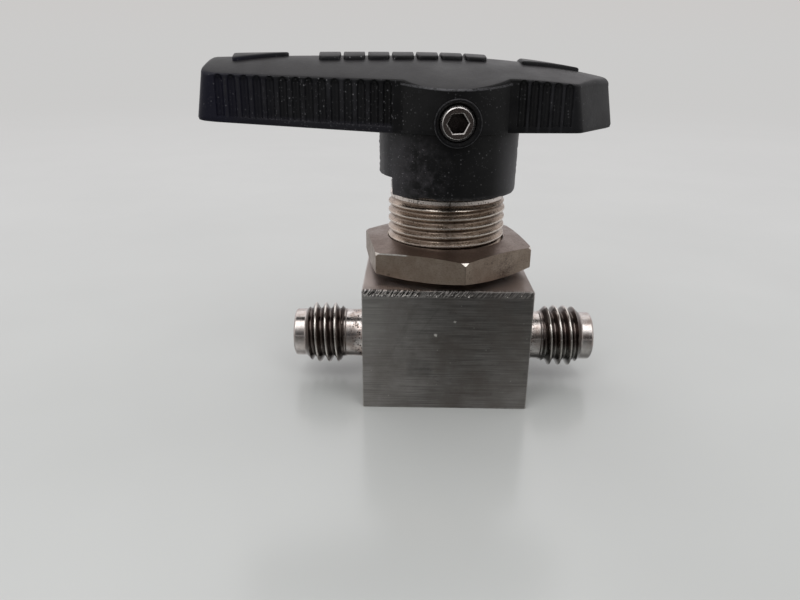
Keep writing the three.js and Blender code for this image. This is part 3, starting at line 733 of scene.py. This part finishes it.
def panel_nut(material):
    flat = NUT_ACROSS_FLATS / 2
    corner = NUT_ACROSS_FLATS / math.sqrt(3)
    bottom, top = NUT_LOW.z, NUT_HIGH.z
    rim = top - NUT_RIM_DROP
    nut = prism("panel_nut_shape", hexagon(NUT_ACROSS_FLATS, NUT_CORNER_ANGLE), bottom, top, 0.07)
    chamfers = revolve("nut_chamfers", [
        (0, bottom), (flat - 0.2, bottom), (corner, bottom + 0.45), (corner + 1, bottom + 0.8),
        (corner + 1, rim - 1.6), (corner, rim - NUT_CHAMFER), (NUT_RIM_RADIUS, rim),
        (BONNET_CREST, top), (0, top)], 256)
    combine(nut, chamfers, "INTERSECT")
    hole = revolve("nut_hole", [
        (0, bottom - 1), (8.4, bottom - 1), (NUT_HOLE_RADIUS, bottom + 0.16),
        (NUT_HOLE_RADIUS, top - 0.1), (7.8, top + 0.5), (0, top + 0.5)], 168)
    combine(nut, hole, "DIFFERENCE")
    return finish_piece(nut, "nut", [material], ["panel_nut"], sharp_angle=20)


# ---- Handle ----

CROWN_TOP = 40.6
CROWN_TOP_X = -5
HUB_EDGE = 37.33
CROWN_POWER = 1.3
RIDGE_SOFTNESS = 0.8
ARM_EDGE = 0.16
SIDE_DRAFT, END_DRAFT, SLANT_DRAFT, TIP_DRAFT = (math.tan(math.radians(a)) for a in (1, 9, 7.5, 10.5))
LONG_FLUTE_START = -26.05
LONG_FLUTE_PITCH = 1.425
LONG_FLUTES = [LONG_FLUTE_START + LONG_FLUTE_PITCH * i for i in range(14)]
SHORT_FLUTE_START = 7.3
SHORT_FLUTE_PITCH = 1.28
SHORT_FLUTES = [SHORT_FLUTE_START + SHORT_FLUTE_PITCH * i for i in range(5)]
FLUTE_RADIUS = 0.5
FLUTE_DEPTH = 0.4
FLUTE_RISE = 0.12
FLUTE_HALF = math.sqrt(FLUTE_RADIUS ** 2 - (FLUTE_RADIUS - FLUTE_DEPTH) ** 2)
MARK_HEIGHT = 0.4
MARK_DEPTH = 0.6
MARK_EDGE = 0.12
ARROW_MARKS = ((-24.8, -18.6, 1.75), (8.0, 15.0, 1.8))
PAD_COUNT = 7
PAD_START = -15.1
PAD_END = 3.9
PAD_GAP = 0.34
PAD_HALF = 1.9


def crown_z(x, y):
    """Height of the handle's crowned top over a point, in the handle's own frame."""
    beyond = x - CROWN_TOP_X
    fall = 0.00163 * beyond ** 2.3 if beyond > 0 else 0.0006 * beyond ** 2
    steepness = 0.2 - 0.0045 * x
    half = CROWN_POWER / 2
    across = (y * y + RIDGE_SOFTNESS ** 2) ** half - RIDGE_SOFTNESS ** CROWN_POWER
    return CROWN_TOP - fall - steepness * across


def underside_z(x):
    rise = max(0.0, (-x - SKIRT_RADIUS) / (LONG_ARM - SKIRT_RADIUS))
    return UNDERSIDE + LONG_TIP_RISE * rise


def arc(center, radius, start, end, steps):
    angles = [start + (end - start) * i / steps for i in range(steps + 1)]
    return [(center[0] + radius * math.cos(angle), center[1] + radius * math.sin(angle))
            for angle in angles]


def rounded_corner(before, corner, after, radius, steps):
    """The arc that rounds a convex corner of an outline."""
    corner = Vector(corner)
    to_before = (Vector(before) - corner).normalized()
    to_after = (Vector(after) - corner).normalized()
    half = to_before.angle(to_after) / 2
    center = corner + (to_before + to_after).normalized() * (radius / math.sin(half))
    reach = radius / math.tan(half)
    first = corner + to_before * reach - center
    last = corner + to_after * reach - center
    start = math.atan2(first.y, first.x)
    return arc(center, radius, start, start - first.angle_signed(last), steps)


def along(start, end, positions):
    """Points on a straight stretch at the given x positions."""
    slope = (end[1] - start[1]) / (end[0] - start[0])
    return [(x, start[1] + slope * (x - start[0])) for x in positions]


def flute_positions(flutes, start, end, step):
    """The x positions along a fluted stretch: nine on each flute and a few on either side."""
    offsets = [FLUTE_HALF * f for f in (-1, -0.85, -0.62, -0.32, 0, 0.32, 0.62, 0.85, 1)]
    inside = sorted(flute + offset for flute in flutes for offset in offsets)
    before = max(1, round((inside[0] - start) / step))
    after = max(1, round((end - inside[-1]) / step))
    return ([start + (inside[0] - start) * i / before for i in range(before)] + inside
            + [inside[-1] + (end - inside[-1]) * (i + 1) / after for i in range(after)])


def wall_inward(start, end):
    """The direction into the bar from a straight wall."""
    run = (Vector(end) - Vector(start)).normalized()
    return Vector((-run.y, run.x))


def straight_pull(inward, draft):
    """How a point of a wall moves in: per millimetre of height, and per millimetre of edge rounding."""
    return inward * draft, inward


def corner_pull(first, second, first_draft, second_draft):
    """The same for a corner between two walls, which stays on both of them as they lean in."""
    across = first.x * second.y - first.y * second.x
    along_second = Vector((second.y, -second.x)) / across
    along_first = Vector((-first.y, first.x)) / across
    return along_second * first_draft + along_first * second_draft, along_second + along_first


def blended(first, second, share):
    return tuple(a.lerp(b, share) for a, b in zip(first, second))


def half_outline():
    """The front half of the bar seen from above, from the long tip's middle to the short tip's middle.

    Each entry is (x, y, edge, pull): the radius of the top edge, and the way the wall moves in.
    """
    reach = math.sqrt(BULGE_RADIUS ** 2 - ARM_HALF ** 2)
    long_corner = (-LONG_ARM, -LONG_TIP_HALF)
    long_root = (-reach, -ARM_HALF)
    short_corner = (SHORT_CORNER, -ARM_HALF)
    tip_corner = (SHORT_ARM, -SHORT_TIP_HALF)
    end = straight_pull(Vector((1, 0)), END_DRAFT)
    long_side = straight_pull(wall_inward(long_corner, long_root), SIDE_DRAFT)
    short_side = straight_pull(Vector((0, 1)), SIDE_DRAFT)
    slant = straight_pull(wall_inward(short_corner, tip_corner), SLANT_DRAFT)
    tip = straight_pull(Vector((-1, 0)), TIP_DRAFT)
    long_turn = corner_pull(end[1], long_side[1], END_DRAFT, SIDE_DRAFT)
    short_turn = corner_pull(short_side[1], slant[1], SIDE_DRAFT, SLANT_DRAFT)
    tip_turn = corner_pull(slant[1], tip[1], SLANT_DRAFT, TIP_DRAFT)

    corner = rounded_corner((-LONG_ARM, 0), long_corner, long_root, 1.1, 7)
    stations = []
    for share in (0, 0.2, 0.4, 0.6, 0.8):
        edge = 1.4 - 0.95 * share ** 2
        stations.append((-LONG_ARM, corner[0][1] * share, edge, blended(end, long_turn, share)))
    stations += [(x, y, 0.45 - 0.02 * i, long_turn) for i, (x, y) in enumerate(corner)]
    positions = flute_positions(LONG_FLUTES, corner[-1][0], long_root[0], 0.3)[1:-1]
    for x, y in along(long_corner, long_root, positions):
        share = min(1.0, (x - corner[-1][0]) / (LONG_FLUTES[0] - FLUTE_HALF - corner[-1][0]))
        stations.append((x, y, 0.31 + (ARM_EDGE - 0.31) * share, blended(long_turn, long_side, share)))
    half_angle = math.atan2(ARM_HALF, reach)
    for x, y in arc((0, 0), BULGE_RADIUS, math.pi + half_angle, TAU - half_angle, 40):
        stations.append((x, y, ARM_EDGE, straight_pull(Vector((-x, -y)).normalized(), SIDE_DRAFT)))
    corner = rounded_corner(long_root, short_corner, tip_corner, 1.0, 5)
    last_flute = SHORT_FLUTES[-1] + FLUTE_HALF
    for x in flute_positions(SHORT_FLUTES, reach, corner[0][0], 0.3)[1:-1]:
        share = max(0.0, (x - last_flute) / (corner[0][0] - last_flute))
        stations.append((x, -ARM_HALF, ARM_EDGE + 0.04 * share, blended(short_side, short_turn, share)))
    stations += [(x, y, 0.2 + 0.02 * i, short_turn) for i, (x, y) in enumerate(corner)]
    tip_arc = rounded_corner(short_corner, tip_corner, (SHORT_ARM, 0), 0.7, 5)
    first, last = Vector(corner[-1]), Vector(tip_arc[0])
    for share in (0.2, 0.4, 0.6, 0.8):
        place = first.lerp(last, share)
        stations.append((*place, 0.3 + 0.3 * share, blended(short_turn, tip_turn, share)))
    stations += [(x, y, 0.6, tip_turn) for x, y in tip_arc]
    stations.append((SHORT_ARM, 0, 0.6, tip))
    return stations


def flute_depth(x, z, top):
    """How deep the flutes cut in at a point of the wall. Each ends in a round arch at the top edge."""
    flutes = LONG_FLUTES if x < 0 else SHORT_FLUTES
    offset = min(abs(x - flute) for flute in flutes)
    if offset > FLUTE_HALF:
        return 0.0
    above = max(0.0, z - (top + FLUTE_RISE - FLUTE_HALF))
    inside = FLUTE_RADIUS ** 2 - offset ** 2 - above ** 2
    return max(0.0, math.sqrt(max(0.0, inside)) - (FLUTE_RADIUS - FLUTE_DEPTH))


def bar_columns():
    """A line of points for each station of the outline, from the underside's spine to the ridge."""
    columns = []
    for x, y, edge, (lean, pull) in half_outline():
        base = Vector((x, y))
        spine = Vector((min(max(x * 0.97, -LONG_ARM + 3.2), SHORT_ARM - 2.4), 0))
        low = underside_z(x)
        top = crown_z(x, y) - edge
        fluted = min(abs(x - f) for f in LONG_FLUTES + SHORT_FLUTES) <= FLUTE_HALF + 1e-6
        fluted = fluted and abs(y) < ARM_HALF + 0.01

        def point(height, rounding, depth=0.0):
            flat = base + lean * height + pull * max(rounding, depth)
            return flat.x, min(flat.y, 0.0)

        column = []
        hem = 0.14 + 0.4 * max(0.0, min(1.0, (edge - ARM_EDGE) / 0.4))
        rim = Vector(point(0, hem))
        for share in (1, 0.75, 0.5, 0.25, 0.08):
            flat = rim.lerp(spine, share)
            column.append((flat.x, flat.y, underside_z(flat.x)))
        column.append((*point(0, hem), low))
        column.append((*point(0, hem * 0.3), low + hem * 0.3))
        levels = [low + hem, low + 0.58, low + 0.64, low + 0.7, low + 0.8, low + 0.9]
        upper = [top - d for d in (0.75, 0.56, 0.42, 0.31, 0.22, 0.14, 0.07, 0.02)]
        levels += [levels[-1] + (upper[0] - levels[-1]) * k / 6 for k in range(1, 6)]
        levels += upper
        for z in levels:
            depth = flute_depth(x, z, top) if fluted and z > low + 0.65 else 0.0
            column.append((*point(z - low, 0.0, depth), z))
        for step in range(7):
            angle = step * TAU / 24
            depth = flute_depth(x, top + edge * math.sin(angle), top) if fluted else 0.0
            flat_x, flat_y = point(top - low, edge * (1 - math.cos(angle)), depth)
            drop = edge * (1 - math.sin(angle))
            column.append((flat_x, flat_y, crown_z(flat_x, flat_y) - drop))
        shoulder = Vector(column[-1][:2])
        for share in (0.08, 0.18, 0.3, 0.44, 0.58, 0.72, 0.86, 1):
            flat = shoulder.lerp(spine, share)
            column.append((flat.x, flat.y, crown_z(flat.x, flat.y)))
        columns.append(column)
    return columns


def bar():
    front = bar_columns()
    back = [[(x, -y, z) for x, y, z in column] for column in reversed(front)]
    return grid_object("bar", front + back, weld=2e-3)


def crown_pad(name, outline):
    """A plain raised mark: an outline on the crown, lifted above it, with a soft top edge."""
    middle = sum((Vector(point) for point in outline), Vector((0, 0))) / len(outline)
    rings = []
    steps = [(0, -MARK_DEPTH), (0, MARK_HEIGHT - MARK_EDGE), (0.03, MARK_HEIGHT - 0.03)]
    steps += [(share, MARK_HEIGHT) for share in (0.07, 0.4, 0.75, 1)]
    for share, lift in steps:
        ring = []
        for point in outline:
            flat = Vector(point).lerp(middle, share)
            ring.append((flat.x, flat.y, crown_z(flat.x, flat.y) + lift))
        rings.append(ring + ring[:1])
    bottom = [(middle.x, middle.y, crown_z(middle.x, middle.y) - MARK_DEPTH)] * len(rings[0])
    return grid_object(name, [bottom] + rings)


def rounded_outline(corners, radius):
    """An outline with rounded corners, and its sides divided so that it can follow the crown."""
    count = len(corners)
    points = []
    for i, corner in enumerate(corners):
        points += rounded_corner(corners[i - 1], corner, corners[(i + 1) % count], radius, 4)
    divided = []
    for i, point in enumerate(points):
        start, end = Vector(point), Vector(points[(i + 1) % len(points)])
        parts = max(1, round((end - start).length / 0.5))
        divided += [tuple(start.lerp(end, k / parts)) for k in range(parts)]
    return divided


def crown_marks():
    """Plain raised marks: a row of pads over the hub and an arrow-shaped pad near each end."""
    marks = []
    for start, end, half in ARROW_MARKS:
        corners = [(start, -half), (end, -0.35), (end, 0.35), (start, half)]
        marks.append(crown_pad("arrow_mark", rounded_outline(corners, 0.3)))
    width = (PAD_END - PAD_START - PAD_GAP * (PAD_COUNT - 1)) / PAD_COUNT
    for i in range(PAD_COUNT):
        left = PAD_START + i * (width + PAD_GAP)
        right = left + width
        corners = [(left, -PAD_HALF), (right, -PAD_HALF), (right, PAD_HALF), (left, PAD_HALF)]
        marks.append(crown_pad("pad_mark", rounded_outline(corners, 0.4)))
    return marks


def skirt():
    """The skirt below the bar, with a worn hem and a rough strip of flash on each side."""
    def row(radius, height, hem):
        def place(angle):
            around = Vector((math.cos(angle), math.sin(angle), 0))
            where = around * 5 + Vector((0, 0, height))
            rough = max(0.0, abs(around.x) - 0.93) / 0.07
            worn = max(0.0, 1 - (around - Vector((-0.66, -0.75, 0))).length / 0.7)
            swell = 0.1 * rough * noise.noise(where * 2.6) + 0.06 * worn * noise.noise(where * 1.4)
            ragged = max(0.0, noise.noise(where * 0.9 + Vector((3, 1, 7))) + 0.15)
            lift = hem * (0.12 + 0.5 * worn) * ragged
            return radius + swell, max(SKIRT_BOTTOM, height + lift)
        return place

    rows = [(0, SKIRT_BOTTOM), (CAVITY_RADIUS - 0.4, SKIRT_BOTTOM),
            row(SKIRT_RADIUS - 0.3, SKIRT_BOTTOM, 1), row(SKIRT_RADIUS - 0.09, SKIRT_BOTTOM + 0.06, 1),
            row(SKIRT_RADIUS, SKIRT_BOTTOM + 0.24, 1)]
    count = 26
    for i in range(1, count + 1):
        share = i / count
        height = SKIRT_BOTTOM + 0.3 + share * (UNDERSIDE + 0.3 - SKIRT_BOTTOM)
        rows.append(row(SKIRT_RADIUS + 0.1 * share, height, max(0.0, 1 - 6 * share)))
    rows.append((0, UNDERSIDE + 0.6))
    return revolve("skirt", rows, 240)


def handle(material):
    body = bar()
    combine(body, skirt(), "UNION")
    boss = revolve("boss", [
        (0, 5), (BOSS_RADIUS, 5), (BOSS_RADIUS, BOSS_FACE - 0.12),
        (BOSS_RADIUS - 0.04, BOSS_FACE - 0.03), (BOSS_RADIUS - 0.1, BOSS_FACE), (0, BOSS_FACE)], 64)
    combine(body, laid(boss, TAU / 4, "X", SCREW_Z), "UNION")
    for mark in crown_marks():
        combine(body, mark, "UNION")
    cavity = revolve("cavity", [
        (0, SKIRT_BOTTOM - 1), (CAVITY_RADIUS, SKIRT_BOTTOM - 1), (CAVITY_RADIUS, CAVITY_TOP),
        (POCKET_RADIUS, CAVITY_TOP), (POCKET_RADIUS, POCKET_TOP), (0, POCKET_TOP)], 128)
    combine(body, cavity, "DIFFERENCE")
    sink = SCREW_HOLE_RADIUS + 0.31
    hole = revolve("screw_hole", [
        (0, 4.6), (SCREW_HOLE_RADIUS, 4.6), (SCREW_HOLE_RADIUS, BOSS_FACE - 0.5),
        (sink - 0.06, BOSS_FACE - 0.14), (sink, BOSS_FACE + 0.02), (sink, BOSS_FACE + 0.7),
        (0, BOSS_FACE + 0.7)], 64)
    combine(body, laid(hole, TAU / 4, "X", SCREW_Z), "DIFFERENCE")
    reach = SKIRT_RADIUS + 1
    sector = [(0, 0)] + arc((0, 0), reach, NOTCH_START, NOTCH_END, 40)
    combine(body, prism("notch", sector, SKIRT_BOTTOM - 1, NOTCH_TOP), "DIFFERENCE")
    body.matrix_world = Matrix.Rotation(HANDLE_YAW, 4, "Z")
    body.name = "handle_shape"
    return finish_piece(body, "rotor", [material], ["handle"])


def hexagon_cone(name, across_flats, turn, face):
    """A shallow six-sided cone whose 45 degree walls break the edge of a hexagon socket at a face."""
    bm = bmesh.new()
    rings = []
    for flats, height in ((across_flats - 1, face - 0.5), (across_flats + 0.4, face + 0.2)):
        rings.append([bm.verts.new((x, y, height)) for x, y in hexagon(flats, turn)])
    close_between(bm, *rings)
    return object_from_bmesh(name, bm)


def set_screw(material):
    face = SCREW_FACE
    screw = revolve("set_screw_shape", [
        (0, SCREW_TIP), (0.9, SCREW_TIP), (SCREW_RADIUS, SCREW_TIP + 0.9), (SCREW_RADIUS, face - 0.34),
        (SCREW_RADIUS - 0.05, face - 0.26), (SCREW_RADIUS - 0.25, face - 0.05),
        (SCREW_RADIUS - 0.33, face), (0, face)], 72)
    socket = prism("socket", hexagon(SOCKET_FLATS, SOCKET_TURN), face - 2.4, face + 0.5)
    combine(screw, socket, "DIFFERENCE")
    combine(screw, hexagon_cone("socket_edge", SOCKET_FLATS + 0.2, SOCKET_TURN, face), "DIFFERENCE")
    laid(screw, TAU / 4, "X", SCREW_Z)
    screw.matrix_world = Matrix.Rotation(HANDLE_YAW, 4, "Z")
    return finish_piece(screw, "rotor", [material], ["set_screw"])


# ---- Pieces kept from the frame ----

def paint_inner_pieces():
    bright = inner_look("turned_bright_steel", (0.62, 0.61, 0.59), (0.5, 0.48, 0.46), 0.16, 0.32)
    satin = inner_look("turned_satin_steel", (0.5, 0.48, 0.45), (0.36, 0.34, 0.32), 0.28, 0.45)
    spring = inner_look("rolled_spring_steel", (0.4, 0.41, 0.42), (0.28, 0.29, 0.3), 0.25, 0.4)
    packing = inner_look("white_packing", (0.84, 0.83, 0.79), (0.76, 0.75, 0.71), 0.5, 0.62, 0.0)
    bushing = inner_look("tan_bushing", (0.56, 0.44, 0.27), (0.45, 0.35, 0.21), 0.45, 0.57, 0.0)
    looks = (
        (bright, ("ball_stem", "side_disc_left", "side_disc_right", "packing_support_ring",
                  "stop_washer")),
        (satin, ("packing_gland", "packing_bolt", "handle_insert")),
        (spring, [f"disc_spring_{i}" for i in range(1, 5)]),
        (packing, ("lower_packing", "upper_packing", "side_ring_left", "side_ring_right")),
        (bushing, ("stem_bushing",)),
    )
    for material, nodes in looks:
        for node in nodes:
            mesh = frame["nodes"][node].data
            mesh.materials.clear()
            mesh.materials.append(material)


# ---- Camera, floor and light ----

BACKDROP = (0.6, 0.595, 0.588)
LAMP_TARGET = Vector((0, 0, 0.02))


def make_camera():
    """A camera in front of the valve, a little to the left and above, looking down on it."""
    yaw, pitch, roll = (math.radians(a) for a in (0.796, 20.93, 0.473))
    data = bpy.data.cameras.new("camera")
    data.sensor_width = 36
    data.lens = 30.06
    data.clip_start = 0.005
    data.clip_end = 20
    camera = new_object("camera", data)
    turn = (Matrix.Rotation(yaw, 4, "Z") @ Matrix.Rotation(TAU / 4 - pitch, 4, "X")
            @ Matrix.Rotation(roll, 4, "Z"))
    camera.matrix_world = Matrix.Translation(Vector((-4.53, -82.16, 41.78)) * MM) @ turn
    bpy.context.scene.camera = camera


def make_floor():
    """A plain pale floor that fades into the backdrop. The metal mirrors it darker in front."""
    bm = bmesh.new()
    bmesh.ops.create_grid(bm, x_segments=1, y_segments=1, size=6)
    floor = object_from_bmesh("floor", bm)
    g = Graph("pale_floor")
    p = g.position()
    tone = g.noise(p, 0.02, detail=3)
    color = g.mix(g.span(tone, 0.3, 0.7), (0.62, 0.64, 0.63), (0.66, 0.68, 0.67))
    near_floor = g.add("BsdfPrincipled",
                       {"Base Color": color, "Roughness": 0.22, "Specular IOR Level": 0.7})
    far_floor = g.add("Emission", {"Color": (*BACKDROP, 1), "Strength": 1.0})
    fading = g.smooth(g.radius(p), 60, 520)
    seen = g.add("MixShader", {0: fading, 1: near_floor.outputs[0], 2: far_floor.outputs[0]})
    y = g.axes(p)[1]
    shaded = g.mix(g.span(y, -30, 0), (0.33, 0.345, 0.335), (0.6, 0.61, 0.605))
    shaded = g.over(shaded, (0.075, 0.076, 0.075), g.span(y, -46, -80))
    mirrored = g.add("BsdfPrincipled", {"Base Color": shaded, "Metallic": 0.7, "Roughness": 0.35})
    camera_ray = g.add("LightPath").outputs["Is Camera Ray"]
    g.finish(g.add("MixShader", {0: camera_ray, 1: mirrored.outputs[0], 2: seen.outputs[0]}))
    floor.data.materials.append(g.material)


def area_light(name, place, size, power):
    """A lamp that points at the valve."""
    data = bpy.data.lights.new(name, "AREA")
    data.shape = "RECTANGLE"
    data.size, data.size_y = size
    data.energy = power
    light = new_object(name, data)
    light.location = place
    light.rotation_euler = (LAMP_TARGET - Vector(place)).to_track_quat("-Z", "Y").to_euler()


def make_light():
    """A soft pale room, dark on the camera's side at eye level, with large lamps above."""
    g = Graph("studio", world=True)
    bpy.context.scene.world = g.material
    direction = g.add("TexCoord").outputs["Generated"]
    x, y, z = g.axes(direction)
    towards_camera = g.span(g.plus(g.times(y, -1.0), g.times(x, 0.12)), 0.72, 0.97)
    low = g.times(g.span(z, 0.62, 0.38), g.span(z, 0.03, 0.1))
    room = g.mix(g.span(z, -0.1, 0.9), (0.6, 0.59, 0.585), (0.6, 0.585, 0.58))
    behind = g.times(g.span(y, 0.1, 0.7), g.span(z, 0.95, 0.6))
    room = g.over(room, (0.8, 0.78, 0.79), behind)
    across = g.math("DIVIDE", x, g.highest(g.times(y, -1.0), 0.05))
    viewer = g.times(g.near(across, 0.05, 0.1, 0.08), g.span(z, 0.93, 0.8), g.span(y, -0.1, -0.2))
    room = g.over(room, (0.03, 0.029, 0.03), viewer)
    room = g.over(room, (0.035, 0.034, 0.036), towards_camera, low)
    backdrop = g.over(BACKDROP, (0.6, 0.585, 0.575), g.span(z, 0.0, 0.07))
    camera_ray = g.add("LightPath").outputs["Is Camera Ray"]
    background = g.add("Background", {"Color": g.over(room, backdrop, camera_ray), "Strength": 1.0})
    g.finish(background, "OutputWorld")
    area_light("front_left_lamp", (-0.16, -0.26, 0.42), (0.2, 0.34), 0.4)
    area_light("front_right_lamp", (0.2, -0.25, 0.42), (0.2, 0.34), 0.34)
    area_light("back_ceiling", (-0.1, 0.3, 0.45), (0.6, 0.4), 0.4)


# ---- Scene ----

bpy.context.scene.view_settings.view_transform = "Standard"
make_camera()
make_floor()
make_light()
valve_body([block_steel(), bonnet_steel(), end_steel(), bore_steel()])
panel_nut(nut_steel())
handle(black_nylon())
set_screw(dark_steel())
paint_inner_pieces()
